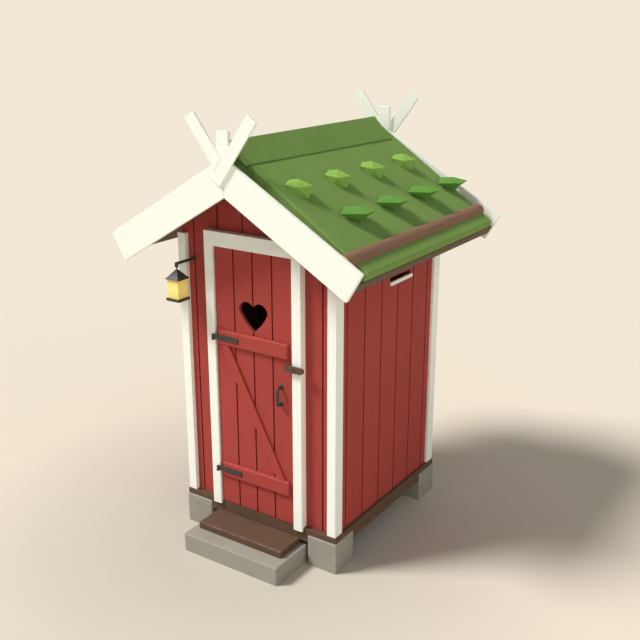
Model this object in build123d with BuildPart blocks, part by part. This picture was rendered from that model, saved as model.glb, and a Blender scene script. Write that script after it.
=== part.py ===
from build123d import *
import math
import os

os.makedirs("parts", exist_ok=True)

# A small timber outhouse with a turf roof. Millimetres, +Z up, door towards -Y, x = 0 on the ridge.
# The origin is on the ground under the middle of the whole outline.

# Posts and walls
width = 1250.0  # over the corner posts
depth = 1375.0  # over the corner posts
post_width = 66.0
post_depth = 86.0
post_head_gap = 25.0  # post top below the roof deck at the outer face
front_setback = 30.0  # wall face behind the post face, front and rear
side_setback = 18.0  # wall face behind the post face, left and right

# Foundation, sills and floor
stone_size = 224.0
stone_height = 222.0
stone_proud = 12.0  # stone face outside the post face
sill_above_stone = 40.0
sill_height = 94.0
sill_width = 106.0
sill_proud = 6.0  # sill face outside the post face
floor_thickness = 28.0

# Step
step_width = 784.0
step_reach = 334.0  # in front of the post face
step_tuck = 20.0  # under the front sill
step_height = 132.0
step_rounding = 12.0
tread_width = 692.0
tread_reach = 226.0
tread_thickness = 52.0
tread_rounding = 6.0

# Roof
roof_pitch = 30.47  # degrees
ridge_underside = 2541.0  # underside of the roof deck at the ridge
eaves_length = 1019.0  # deck length down the slope, from the ridge underside
deck_thickness = 58.0
gable_overhang = 264.0  # bargeboard face in front of the post face
bargeboard_thickness = 26.0
bargeboard_width = 205.0
bargeboard_rise = 94.0  # top edge above the deck, square to the slope
bargeboard_past_eaves = 4.0
turf_eaves_setback = 8.0  # turf edge up the slope from the deck edge
turf_eaves_thickness = 58.0
turf_ridge_rise = 139.5  # turf ridge above the deck ridge
turf_front_inset = 88.0  # turf end behind the front bargeboards
turf_rear_inset = 48.0
turf_rounding = 12.0
turf_end_rounding = 16.0
cap_half_width_front = 122.0
cap_half_width_rear = 145.0
cap_lip = 8.0
cap_rise = 64.0  # cap ridge above the turf ridge
cap_front_gap = 40.0  # behind the front bargeboards
cap_rear_gap = 132.0  # before the rear bargeboards
log_radius = 47.0
log_from_eaves = 141.0  # log axis up the slope from the deck edge
log_bed = 4.0  # turf left under the log
log_front_gap = 4.0  # behind the front bargeboards
bedding_gap = 0.3

# Tufts that grow on the right-hand slope, each with its widest ring held level
tuft_sides = 5
tufts_in_row = 4
tuft_pitch = 425.0
upper_row_from_ridge = 329.0
upper_row_forward = 33.0  # row centre in front of the middle of the house
upper_tuft_radius = 92.0
upper_tuft_crown = 44.0  # radius of its top
upper_tuft_rise = 16.0  # widest ring above the turf at its middle
upper_tuft_height = 44.0  # top above the widest ring
upper_tuft_depth = 62.0  # foot below the widest ring
upper_tuft_foot = 62.0  # radius of its foot
lower_row_from_ridge = 620.0
lower_row_back = 179.0  # row centre behind the middle of the house
lower_tuft_radius = 114.0
lower_tuft_crown = 70.0
lower_tuft_rise = 58.0
lower_tuft_height = 16.0
lower_tuft_depth = 84.0
lower_tuft_foot = 18.0

# Finials and crossed boards on the gables
finial_width = 88.0
finial_rise = 150.0
horn_width = 80.0
horn_thickness = 16.0
horn_angle = 53.5  # degrees from level
horn_cross_drop = 79.0  # crossing below the bargeboard apex
horn_arm = 391.0
right_horn_tail = 87.0  # crossing to the lower end
left_horn_tail = 8.0

# Doorway, casing and door
clear_width = 620.0  # between the casings
casing_width = 69.0
casing_thickness = 55.0
casing_toe = 24.0  # casing below the sill top
casing_head_height = 96.0
casing_head_bottom = 2102.0
stop_thickness = 10.0
door_gap = 5.0  # around the leaf and behind it
leaf_thickness = 25.0
door_overlap = 15.0  # leaf over the wall at the sides and the top
batten_inset = 31.0  # batten end inside the casing
batten_height = 102.0
batten_thickness = 25.0
batten_chamfer = 7.0
batten_heights = (529.0, 1493.5)  # middle of each batten
brace_width = 60.0
brace_thickness = 20.0
brace_top_inset = 82.0  # inside the batten end on the hinge side
brace_bottom_inset = 30.0  # inside the batten end on the other side

# Heart in the leaf
heart_bottom = 1569.0
heart_cleft = 1735.0
heart_lobe_top = 1765.0
heart_half_width = 115.0
heart_lobe_x = 59.0
heart_wide_z = 1706.0
heart_cheek_bulge = 9.0

# Strap hinges
strap_height = 32.0
strap_thickness = 8.0
strap_length = 202.0  # from the hinge axis
eye_radius = 10.0
pin_radius = 4.0
pin_clearance = 0.3
eye_side = 2.0  # hinge axis outside the casing edge
eye_front = 1.0  # hinge axis in front of the strap face
lug_height = 8.0
lug_length = 16.0
lug_gap = 1.0

# Handle
handle_inset = 94.0  # inside the casing
handle_bottom = 1123.0
handle_height = 116.5
handle_reach = 44.0
handle_radius = 10.0
handle_bend = 16.0

# Turn button
button_height_z = 1393.5
button_inner = 75.0  # pivot to the end over the door
button_outer = 64.5
button_width = 39.0
button_thickness = 22.0
button_collar = 7.2
button_collar_radius = 9.0
button_pin_radius = 5.0
button_head_thickness = 3.0
running_gap = 0.3

# Vents high in the side walls
vent_length = 278.0
vent_height = 41.0
vent_bottom = 1822.0
vent_from_front = 821.0  # middle of the vent behind the front post face
slat_height = 27.0
slat_bottom = 1812.0
slat_thickness = 16.0
slat_lap = 6.0

# Lantern on its bracket
lantern_x = -509.0
lantern_reach = 177.0  # hanging point in front of the wall face
bracket_drop = 159.0  # top of the bar below the post tops
bracket_bar = 16.0
bracket_plate_width = 24.0
bracket_plate_height = 32.0
bracket_plate_thickness = 6.0
fork_gap = 12.0
fork_ear = 3.5
fork_drop = 16.0
fork_pin_drop = 9.0
hanger_eye_radius = 5.5
hanger_eye_width = 8.0
hanger_pin_radius = 2.5
hanger_stem_radius = 2.5
hanger_length = 23.0  # swing pin to the cap
lantern_cap_half = 57.0
lantern_cap_height = 60.0
lantern_cap_tip = 7.0
lantern_glass_half = 46.0
lantern_glass_height = 127.0
lantern_wall = 5.0
lantern_base_half = 55.0
lantern_base_height = 17.0

# Derived places
slope = math.radians(roof_pitch)
slope_tan = math.tan(slope)
slope_sin = math.sin(slope)
slope_cos = math.cos(slope)
half_width = width / 2
rear_reach = gable_overhang + horn_thickness
front_y = -(depth + rear_reach - step_reach) / 2
mid_y = front_y + depth / 2
rear_y = front_y + depth
wall_front = front_y + front_setback
wall_back = front_y + post_depth
wall_outer = half_width - side_setback
wall_inner = half_width - post_width
sill_top = stone_height + sill_above_stone
sill_bottom = sill_top - sill_height
floor_top = sill_top + floor_thickness
gable_front = front_y - gable_overhang
gable_back = gable_front + bargeboard_thickness
mid_plane = Plane.XZ.offset(-mid_y)


def under_deck(x):
    """Height of the deck's underside at a distance x from the ridge."""
    return ridge_underside - slope_tan * abs(x)


def section_plane(y):
    """Upright plane across the house, seen from the front, that sketches on x and z."""
    return Plane.XZ.offset(-y)


def slope_plane(y):
    """Plane across the right-hand slope: x runs down the deck's underside, y square to it."""
    return Plane(
        origin=(0, y, ridge_underside),
        x_dir=(slope_cos, 0, -slope_sin),
        z_dir=(0, -1, 0),
    )


def at_ridge(height):
    """Point of a slope plane that lies on the ridge line, at a height above the deck's underside."""
    return (-height * slope_sin, height * slope_cos)


def save(piece, label):
    """Label a finished piece and write it."""
    piece.part.label = label
    export_step(piece.part, f"parts/{label}.step")


post_top = under_deck(half_width) - post_head_gap

# Foundation stones, one under each corner
stone_centre_x = half_width + stone_proud - stone_size / 2
stone_centre_y = depth / 2 + stone_proud - stone_size / 2
stone_spots = [
    (side * stone_centre_x, mid_y + end * stone_centre_y)
    for side in (-1, 1)
    for end in (-1, 1)
]
with BuildPart() as foundation_stones:
    with Locations(*stone_spots):
        Box(stone_size, stone_size, stone_height, align=(Align.CENTER, Align.CENTER, Align.MIN))
    top_edges = foundation_stones.edges().group_by(Axis.Z)[-1]
    fillet(top_edges, step_rounding)
save(foundation_stones, "foundation_stones")

# Sills, housed over the stones
with BuildPart() as sill_front:
    with BuildSketch(Plane.XY.offset(sill_bottom)):
        with Locations((0, front_y - sill_proud)):
            Rectangle(width + 2 * sill_proud, sill_width, align=(Align.CENTER, Align.MIN))
    extrude(amount=sill_height)
    with Locations(*[(x, y, 0) for x, y in stone_spots]):
        Box(
            stone_size,
            stone_size,
            stone_height,
            align=(Align.CENTER, Align.CENTER, Align.MIN),
            mode=Mode.SUBTRACT,
        )
save(sill_front, "sill_front")

with BuildPart() as sill_rear:
    mirror(sill_front.part, about=mid_plane)
save(sill_rear, "sill_rear")

sill_centre_x = half_width + sill_proud - sill_width / 2
with BuildPart() as sills_side:
    with BuildSketch(Plane.XY.offset(sill_bottom)):
        with Locations((sill_centre_x, mid_y), (-sill_centre_x, mid_y)):
            Rectangle(sill_width, depth + 2 * (sill_proud - sill_width))
    extrude(amount=sill_height)
    with Locations(*[(x, y, 0) for x, y in stone_spots]):
        Box(
            stone_size,
            stone_size,
            stone_height,
            align=(Align.CENTER, Align.CENTER, Align.MIN),
            mode=Mode.SUBTRACT,
        )
save(sills_side, "sills_side")

# Step: a stone slab with a plank tread on it
with BuildPart() as step_stone:
    with BuildSketch():
        with Locations((0, front_y - step_reach)):
            Rectangle(step_width, step_reach + step_tuck, align=(Align.CENTER, Align.MIN))
    extrude(amount=step_height)
    upright_edges = step_stone.edges().filter_by(Axis.Z)
    fillet(upright_edges, step_rounding)
    top_edges = step_stone.edges().group_by(Axis.Z)[-1]
    fillet(top_edges, step_rounding)
save(step_stone, "step_stone")

with BuildPart() as step_tread:
    with BuildSketch(Plane.XY.offset(step_height)):
        with Locations((0, front_y - tread_reach)):
            Rectangle(tread_width, tread_reach - sill_proud, align=(Align.CENTER, Align.MIN))
    extrude(amount=tread_thickness)
    top_edges = step_tread.edges().group_by(Axis.Z)[-1]
    chamfer(top_edges, tread_rounding)
save(step_tread, "step_tread")

# Corner posts
post_spots = [
    (side * (half_width - post_width / 2), mid_y + end * (depth - post_depth) / 2)
    for side in (-1, 1)
    for end in (-1, 1)
]
with BuildPart() as corner_posts:
    with BuildSketch(Plane.XY.offset(sill_top)):
        with Locations(*post_spots):
            Rectangle(post_width, post_depth)
    extrude(amount=post_top - sill_top)
save(corner_posts, "corner_posts")

# Doorway, cut a little smaller than the leaf that closes over it
leaf_half = clear_width / 2 - door_gap
leaf_top = casing_head_bottom - door_gap
leaf_bottom = sill_top + door_gap
doorway_half = leaf_half - door_overlap
doorway_top = leaf_top - door_overlap

# Front wall: a panel on each side of the doorway and the gable over it
with BuildPart() as front_wall_right:
    with BuildSketch(section_plane(wall_back)):
        Polygon(
            (doorway_half, sill_top),
            (wall_inner, sill_top),
            (wall_inner, post_top),
            (wall_outer, post_top),
            (wall_outer, under_deck(wall_outer)),
            (doorway_half, under_deck(doorway_half)),
            align=None,
        )
    extrude(amount=wall_back - wall_front)
save(front_wall_right, "front_wall_right")

with BuildPart() as front_wall_left:
    mirror(front_wall_right.part, about=Plane.YZ)
save(front_wall_left, "front_wall_left")

with BuildPart() as front_gable:
    with BuildSketch(section_plane(wall_back)):
        Polygon(
            (-doorway_half, doorway_top),
            (doorway_half, doorway_top),
            (doorway_half, under_deck(doorway_half)),
            (0, ridge_underside),
            (-doorway_half, under_deck(doorway_half)),
            align=None,
        )
    extrude(amount=wall_back - wall_front)
save(front_gable, "front_gable")

# Rear wall, plain from side to side
with BuildPart() as rear_wall:
    with BuildSketch(section_plane(rear_y - front_setback)):
        Polygon(
            (-wall_inner, sill_top),
            (wall_inner, sill_top),
            (wall_inner, post_top),
            (wall_outer, post_top),
            (wall_outer, under_deck(wall_outer)),
            (0, ridge_underside),
            (-wall_outer, under_deck(wall_outer)),
            (-wall_outer, post_top),
            (-wall_inner, post_top),
            align=None,
        )
    extrude(amount=wall_back - wall_front)
save(rear_wall, "rear_wall")

# Side walls with their vents
vent_y = front_y + vent_from_front
with BuildPart() as right_wall:
    with BuildSketch(section_plane(rear_y - post_depth)):
        Polygon(
            (wall_inner, sill_top),
            (wall_outer, sill_top),
            (wall_outer, under_deck(wall_outer)),
            (wall_inner, under_deck(wall_inner)),
            align=None,
        )
    extrude(amount=depth - 2 * post_depth)
    with BuildSketch(Plane.YZ.offset(wall_inner)):
        with Locations((vent_y, vent_bottom)):
            Rectangle(vent_length, vent_height, align=(Align.CENTER, Align.MIN))
    extrude(amount=wall_outer - wall_inner, mode=Mode.SUBTRACT)
save(right_wall, "right_wall")

with BuildPart() as left_wall:
    mirror(right_wall.part, about=Plane.YZ)
save(left_wall, "left_wall")

with BuildPart() as vent_slats:
    with BuildSketch(Plane.YZ.offset(wall_outer)):
        with Locations((vent_y, slat_bottom)):
            Rectangle(vent_length + 2 * slat_lap, slat_height, align=(Align.CENTER, Align.MIN))
    extrude(amount=slat_thickness)
    mirror(about=Plane.YZ)
save(vent_slats, "vent_slats")

# Floor, and the threshold in the doorway
with BuildPart() as floor_boards:
    with BuildSketch(Plane.XY.offset(sill_top)):
        with Locations((0, mid_y)):
            Rectangle(2 * wall_inner, depth - 2 * post_depth)
    extrude(amount=floor_thickness)
save(floor_boards, "floor_boards")

stop_front = wall_front - stop_thickness
with BuildPart() as threshold:
    with BuildSketch(Plane.XY.offset(sill_top)):
        with Locations((0, stop_front)):
            Rectangle(2 * doorway_half, wall_back - stop_front, align=(Align.CENTER, Align.MIN))
    extrude(amount=floor_thickness)
save(threshold, "threshold")

# Door stop, a frame on the wall's face that the leaf closes against
with BuildPart() as door_stop:
    with BuildSketch(section_plane(wall_front)):
        Polygon(
            (-clear_width / 2, sill_top),
            (-doorway_half, sill_top),
            (-doorway_half, doorway_top),
            (doorway_half, doorway_top),
            (doorway_half, sill_top),
            (clear_width / 2, sill_top),
            (clear_width / 2, casing_head_bottom),
            (-clear_width / 2, casing_head_bottom),
            align=None,
        )
    extrude(amount=stop_thickness)
save(door_stop, "door_stop")

# Door casing: two uprights whose toes lap over the sill, and a head across them
casing_front = wall_front - casing_thickness
casing_outer = clear_width / 2 + casing_width
sill_face = front_y - sill_proud
with BuildPart() as door_casing_right:
    with BuildSketch(Plane.YZ.offset(clear_width / 2)):
        Polygon(
            (casing_front, sill_top - casing_toe),
            (sill_face, sill_top - casing_toe),
            (sill_face, sill_top),
            (wall_front, sill_top),
            (wall_front, casing_head_bottom),
            (casing_front, casing_head_bottom),
            align=None,
        )
    extrude(amount=casing_width)
save(door_casing_right, "door_casing_right")

with BuildPart() as door_casing_left:
    mirror(door_casing_right.part, about=Plane.YZ)
save(door_casing_left, "door_casing_left")

with BuildPart() as door_casing_head:
    with BuildSketch(section_plane(wall_front)):
        with Locations((0, casing_head_bottom)):
            Rectangle(2 * casing_outer, casing_head_height, align=(Align.CENTER, Align.MIN))
    extrude(amount=casing_thickness)
save(door_casing_head, "door_casing_head")

# Roof deck, mitred on the ridge
deck_top_at_ridge = deck_thickness / slope_cos
with BuildPart() as roof_deck_right:
    with BuildSketch(slope_plane(rear_y + gable_overhang - bargeboard_thickness)):
        Polygon(
            (0, 0),
            (eaves_length, 0),
            (eaves_length, deck_thickness),
            at_ridge(deck_top_at_ridge),
            align=None,
        )
    extrude(amount=depth + 2 * (gable_overhang - bargeboard_thickness))
save(roof_deck_right, "roof_deck_right")

with BuildPart() as roof_deck_left:
    mirror(roof_deck_right.part, about=Plane.YZ)
save(roof_deck_left, "roof_deck_left")

# Turf, thicker at the ridge, with a trough for the log that holds it at the eaves
turf_front = gable_back + turf_front_inset
turf_rear = rear_y + gable_overhang - bargeboard_thickness - turf_rear_inset
turf_length = turf_rear - turf_front
turf_ridge = deck_top_at_ridge + turf_ridge_rise
turf_edge = deck_thickness + turf_eaves_thickness
turf_ridge_z = ridge_underside + turf_ridge
turf_end = eaves_length - turf_eaves_setback
turf_edge_x = turf_end * slope_cos + turf_edge * slope_sin
turf_edge_z = ridge_underside - turf_end * slope_sin + turf_edge * slope_cos
turf_fall = (turf_ridge_z - turf_edge_z) / turf_edge_x
turf_slope = Axis((0, 0, turf_ridge_z), (1, 0, -turf_fall))
log_spot = (eaves_length - log_from_eaves, deck_thickness + log_bed + log_radius)
with BuildPart() as turf_right:
    with BuildSketch(slope_plane(turf_rear)) as turf_section:
        Polygon(
            at_ridge(deck_top_at_ridge),
            (turf_end, deck_thickness),
            (turf_end, turf_edge),
            at_ridge(turf_ridge),
            align=None,
        )
    extrude(amount=turf_length)
    eaves_edge = turf_right.edges().filter_by(Axis.Y).sort_by(Axis.X)[-2:].sort_by(Axis.Z)[-1]
    fillet(eaves_edge, turf_rounding)
    end_edges = turf_right.edges().filter_by(turf_slope)
    fillet(end_edges, turf_end_rounding)
    with BuildSketch(slope_plane(turf_rear)):
        with Locations(log_spot):
            Circle(log_radius + bedding_gap)
    extrude(amount=turf_length, mode=Mode.SUBTRACT)
save(turf_right, "turf_right")

with BuildPart() as turf_left:
    mirror(turf_right.part, about=Plane.YZ)
save(turf_left, "turf_left")

with BuildPart() as eaves_logs:
    with BuildSketch(slope_plane(turf_rear)):
        with Locations(log_spot):
            Circle(log_radius)
    extrude(amount=turf_rear - gable_back - log_front_gap)
    mirror(about=Plane.YZ)
save(eaves_logs, "eaves_logs")

# Ridge cap of turf laid over both slopes
cap_front = gable_back + cap_front_gap
cap_rear = rear_y + gable_overhang - bargeboard_thickness - cap_rear_gap
cap_ends = [(cap_front, cap_half_width_front), (cap_rear, cap_half_width_rear)]
with BuildPart() as turf_ridge_cap:
    for cap_y, cap_half in cap_ends:
        cap_edge_z = turf_ridge_z - turf_fall * cap_half
        with BuildSketch(section_plane(cap_y)):
            Polygon(
                (0, turf_ridge_z),
                (cap_half, cap_edge_z),
                (cap_half, cap_edge_z + cap_lip),
                (0, turf_ridge_z + cap_rise),
                (-cap_half, cap_edge_z + cap_lip),
                (-cap_half, cap_edge_z),
                align=None,
            )
    loft(ruled=True)
save(turf_ridge_cap, "turf_ridge_cap")

# Tufts, low faceted clumps that grow out of the turf and stand level on its slope
turf_top = Plane(origin=(0, 0, turf_ridge_z), x_dir=(0, 1, 0), z_dir=(turf_fall, 0, 1))
half_row = (tufts_in_row - 1) * tuft_pitch / 2
upper_tuft_ring = turf_ridge_z - turf_fall * upper_row_from_ridge + upper_tuft_rise
lower_tuft_ring = turf_ridge_z - turf_fall * lower_row_from_ridge + lower_tuft_rise
upper_tuft_spots = [
    (upper_row_from_ridge, mid_y - upper_row_forward - half_row + place * tuft_pitch)
    for place in range(tufts_in_row)
]
lower_tuft_spots = [
    (lower_row_from_ridge, mid_y + lower_row_back - half_row + place * tuft_pitch)
    for place in range(tufts_in_row)
]
with BuildPart() as turf_tufts:
    for spot in upper_tuft_spots:
        with BuildSketch(Plane.XY.offset(upper_tuft_ring - upper_tuft_depth)):
            with Locations(spot):
                RegularPolygon(upper_tuft_foot, tuft_sides)
        with BuildSketch(Plane.XY.offset(upper_tuft_ring)):
            with Locations(spot):
                RegularPolygon(upper_tuft_radius, tuft_sides)
        with BuildSketch(Plane.XY.offset(upper_tuft_ring + upper_tuft_height)):
            with Locations(spot):
                RegularPolygon(upper_tuft_crown, tuft_sides)
        loft(ruled=True)
    for spot in lower_tuft_spots:
        with BuildSketch(Plane.XY.offset(lower_tuft_ring - lower_tuft_depth)):
            with Locations(spot):
                RegularPolygon(lower_tuft_foot, tuft_sides)
        with BuildSketch(Plane.XY.offset(lower_tuft_ring)):
            with Locations(spot):
                RegularPolygon(lower_tuft_radius, tuft_sides)
        with BuildSketch(Plane.XY.offset(lower_tuft_ring + lower_tuft_height)):
            with Locations(spot):
                RegularPolygon(lower_tuft_crown, tuft_sides)
        loft(ruled=True)
    split(bisect_by=turf_top, keep=Keep.TOP)
save(turf_tufts, "turf_tufts")

# Bargeboards, mitred at the apex and cut square at the eaves
board_top = deck_thickness + bargeboard_rise
board_bottom = board_top - bargeboard_width
board_end = eaves_length + bargeboard_past_eaves
with BuildPart() as bargeboards_right:
    with BuildSketch(slope_plane(gable_back)):
        Polygon(
            at_ridge(board_top / slope_cos),
            (board_end, board_top),
            (board_end, board_bottom),
            at_ridge(board_bottom / slope_cos),
            align=None,
        )
    extrude(amount=bargeboard_thickness)
    mirror(about=mid_plane)
save(bargeboards_right, "bargeboards_right")

with BuildPart() as bargeboards_left:
    mirror(bargeboards_right.part, about=Plane.YZ)
save(bargeboards_left, "bargeboards_left")

# Finials, short upright boards seated on the apex of the bargeboards
apex_z = ridge_underside + board_top / slope_cos
finial_seat = apex_z - slope_tan * finial_width / 2
with BuildPart() as gable_finials:
    with BuildSketch(section_plane(gable_back)):
        Polygon(
            (0, apex_z),
            (finial_width / 2, finial_seat),
            (finial_width / 2, apex_z + finial_rise),
            (-finial_width / 2, apex_z + finial_rise),
            (-finial_width / 2, finial_seat),
            align=None,
        )
    extrude(amount=bargeboard_thickness)
    mirror(about=mid_plane)
save(gable_finials, "gable_finials")


def horn_plane(side, y):
    """Plane of a crossed board that leans to one side: x runs up along it from the crossing."""
    lean = math.radians(horn_angle)
    return Plane(
        origin=(0, y, apex_z - horn_cross_drop),
        x_dir=(side * math.cos(lean), 0, math.sin(lean)),
        z_dir=(0, -1, 0),
    )


# Crossed boards, halved into each other over the apex
right_horn_middle = (horn_arm - right_horn_tail) / 2
right_horn_length = horn_arm + right_horn_tail
left_horn_middle = (horn_arm - left_horn_tail) / 2
left_horn_length = horn_arm + left_horn_tail
with BuildPart() as horns_right:
    with BuildSketch(horn_plane(1, gable_front)):
        with Locations((right_horn_middle, 0)):
            Rectangle(right_horn_length, horn_width)
    extrude(amount=horn_thickness)
    with BuildSketch(horn_plane(-1, gable_front)):
        with Locations((left_horn_middle, 0)):
            Rectangle(left_horn_length, horn_width)
    extrude(amount=horn_thickness / 2, mode=Mode.SUBTRACT)
    mirror(about=mid_plane)
save(horns_right, "horns_right")

with BuildPart() as horns_left:
    with BuildSketch(horn_plane(-1, gable_front)):
        with Locations((left_horn_middle, 0)):
            Rectangle(left_horn_length, horn_width)
    extrude(amount=horn_thickness)
    with BuildSketch(horn_plane(1, gable_front - horn_thickness / 2)):
        with Locations((right_horn_middle, 0)):
            Rectangle(right_horn_length, horn_width)
    extrude(amount=horn_thickness / 2, mode=Mode.SUBTRACT)
    mirror(about=mid_plane)
save(horns_left, "horns_left")

# Door leaf with the heart cut through it
leaf_back = stop_front - door_gap
leaf_front = leaf_back - leaf_thickness
cheek_x = heart_half_width / 2 + heart_cheek_bulge
cheek_z = (heart_bottom + heart_wide_z) / 2 - heart_cheek_bulge
with BuildPart() as door_leaf:
    with BuildSketch(section_plane(leaf_back)):
        with Locations((0, leaf_bottom)):
            Rectangle(2 * leaf_half, leaf_top - leaf_bottom, align=(Align.CENTER, Align.MIN))
    extrude(amount=leaf_thickness)
    with BuildSketch(section_plane(leaf_back)):
        with BuildLine():
            ThreePointArc(
                (0, heart_cleft),
                (heart_lobe_x, heart_lobe_top),
                (heart_half_width, heart_wide_z),
            )
            ThreePointArc((heart_half_width, heart_wide_z), (cheek_x, cheek_z), (0, heart_bottom))
            mirror(about=Plane.YZ)
        make_face()
    extrude(amount=leaf_thickness, mode=Mode.SUBTRACT)
save(door_leaf, "door_leaf")

# Battens and the brace between them
batten_front = leaf_front - batten_thickness
batten_half = clear_width / 2 - batten_inset
with BuildPart() as door_battens:
    with BuildSketch(section_plane(leaf_front)):
        with Locations(*[(0, z) for z in batten_heights]):
            Rectangle(2 * batten_half, batten_height)
    extrude(amount=batten_thickness)
    front_edges = door_battens.edges().group_by(Axis.Y)[0]
    chamfer(front_edges, batten_chamfer)
save(door_battens, "door_battens")

brace_bottom = batten_heights[0] + batten_height / 2
brace_top = batten_heights[1] - batten_height / 2
brace_top_x = brace_top_inset - batten_half
brace_bottom_x = batten_half - brace_bottom_inset
brace_run = brace_bottom_x - brace_top_x
brace_level_width = brace_width * math.hypot(brace_run, brace_top - brace_bottom) / (brace_top - brace_bottom)
with BuildPart() as door_brace:
    with BuildSketch(section_plane(leaf_front)):
        Polygon(
            (brace_top_x - brace_level_width, brace_top),
            (brace_bottom_x - brace_level_width, brace_bottom),
            (brace_bottom_x, brace_bottom),
            (brace_top_x, brace_top),
            align=None,
        )
    extrude(amount=brace_thickness)
save(door_brace, "door_brace")

# Strap hinges: the strap lies on the batten and its eye turns on a pin at the casing
hinge_x = -(clear_width / 2 + eye_side)
hinge_y = batten_front - strap_thickness - eye_front
strap_bottoms = [z - strap_height / 2 for z in batten_heights]
with BuildPart() as strap_hinges:
    for strap_bottom in strap_bottoms:
        with BuildSketch(Plane.XY.offset(strap_bottom)):
            with Locations((hinge_x, hinge_y)):
                Circle(eye_radius)
            with Locations((hinge_x, batten_front)):
                Rectangle(strap_length, strap_thickness, align=(Align.MIN, Align.MAX))
            with Locations((hinge_x, hinge_y)):
                Circle(pin_radius + pin_clearance, mode=Mode.SUBTRACT)
        extrude(amount=strap_height)
save(strap_hinges, "strap_hinges")

with BuildPart() as hinge_pintles:
    for strap_bottom in strap_bottoms:
        lug_top = strap_bottom - lug_gap
        with BuildSketch(Plane.XY.offset(lug_top - lug_height)):
            with Locations((hinge_x + pin_radius, casing_front)):
                Rectangle(
                    lug_length,
                    casing_front - hinge_y + pin_radius,
                    align=(Align.MAX, Align.MAX),
                )
        extrude(amount=lug_height)
        with BuildSketch(Plane.XY.offset(lug_top)):
            with Locations((hinge_x, hinge_y)):
                Circle(pin_radius)
        extrude(amount=lug_gap + strap_height + lug_gap)
save(hinge_pintles, "hinge_pintles")

# Door handle, a bent round bar
handle_x = clear_width / 2 - handle_inset
with BuildPart() as door_handle:
    with BuildLine() as handle_path:
        FilletPolyline(
            (handle_x, leaf_front, handle_bottom),
            (handle_x, leaf_front - handle_reach, handle_bottom),
            (handle_x, leaf_front - handle_reach, handle_bottom + handle_height),
            (handle_x, leaf_front, handle_bottom + handle_height),
            radius=handle_bend,
        )
    with BuildSketch(Plane(origin=(handle_x, leaf_front, handle_bottom), z_dir=(0, -1, 0))):
        Circle(handle_radius)
    sweep(path=handle_path.line)
save(door_handle, "door_handle")

# Turn button on the right-hand casing, and the pin that it turns on
button_x = clear_width / 2 + casing_width / 2
button_back = casing_front - button_collar - running_gap
button_front = button_back - button_thickness
button_round_x = button_outer - button_width / 2
with BuildPart() as turn_button:
    with BuildSketch(section_plane(button_back)):
        with Locations((button_x - button_inner, button_height_z)):
            Rectangle(button_inner + button_round_x, button_width, align=(Align.MIN, Align.CENTER))
        with Locations((button_x + button_round_x, button_height_z)):
            Circle(button_width / 2)
        with Locations((button_x, button_height_z)):
            Circle(button_pin_radius + running_gap, mode=Mode.SUBTRACT)
    extrude(amount=button_thickness)
save(turn_button, "turn_button")

with BuildPart() as turn_button_pin:
    with BuildSketch(section_plane(casing_front)):
        with Locations((button_x, button_height_z)):
            Circle(button_collar_radius)
    extrude(amount=button_collar)
    with BuildSketch(section_plane(casing_front)):
        with Locations((button_x, button_height_z)):
            Circle(button_pin_radius)
    extrude(amount=casing_front - button_front + running_gap)
    with BuildSketch(section_plane(button_front - running_gap)):
        with Locations((button_x, button_height_z)):
            Circle(button_collar_radius)
    extrude(amount=button_head_thickness)
save(turn_button_pin, "turn_button_pin")

# Lantern bracket: plate, bar and a fork with the pin that the hanger swings on
lantern_y = wall_front - lantern_reach
bar_bottom = post_top - bracket_drop - bracket_bar
swing_z = bar_bottom - fork_pin_drop
lantern_cap_top = swing_z - hanger_length
fork_half = fork_gap / 2 + fork_ear
with BuildPart() as lantern_bracket:
    with BuildSketch(section_plane(wall_front)):
        with Locations((lantern_x, bar_bottom + bracket_bar / 2)):
            Rectangle(bracket_plate_width, bracket_plate_height)
    extrude(amount=bracket_plate_thickness)
    with BuildSketch(section_plane(wall_front)):
        with Locations((lantern_x, bar_bottom + bracket_bar / 2)):
            Rectangle(bracket_bar, bracket_bar)
    extrude(amount=lantern_reach)
    with BuildSketch(section_plane(lantern_y + bracket_bar / 2)):
        with Locations((lantern_x, bar_bottom)):
            Rectangle(2 * fork_half, bracket_bar, align=(Align.CENTER, Align.MIN))
        with Locations((lantern_x - fork_half + fork_ear / 2, bar_bottom)):
            Rectangle(fork_ear, fork_drop, align=(Align.CENTER, Align.MAX))
        with Locations((lantern_x + fork_half - fork_ear / 2, bar_bottom)):
            Rectangle(fork_ear, fork_drop, align=(Align.CENTER, Align.MAX))
    extrude(amount=bracket_bar)
    with BuildSketch(Plane.YZ.offset(lantern_x - fork_half)):
        with Locations((lantern_y, swing_z)):
            Circle(hanger_pin_radius)
    extrude(amount=2 * fork_half)
save(lantern_bracket, "lantern_bracket")

with BuildPart() as lantern_hanger:
    with BuildSketch(section_plane(lantern_y)):
        with Locations((lantern_x, lantern_cap_top)):
            Rectangle(
                hanger_stem_radius,
                swing_z - hanger_pin_radius - lantern_cap_top,
                align=(Align.MIN, Align.MIN),
            )
    revolve(axis=Axis((lantern_x, lantern_y, 0), (0, 0, 1)), revolution_arc=360)
    with BuildSketch(Plane.YZ.offset(lantern_x - hanger_eye_width / 2)):
        with Locations((lantern_y, swing_z)):
            Circle(hanger_eye_radius)
    extrude(amount=hanger_eye_width)
    with BuildSketch(Plane.YZ.offset(lantern_x - hanger_eye_width / 2)):
        with Locations((lantern_y, swing_z)):
            Circle(hanger_pin_radius + pin_clearance)
    extrude(amount=hanger_eye_width, mode=Mode.SUBTRACT)
save(lantern_hanger, "lantern_hanger")

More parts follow.
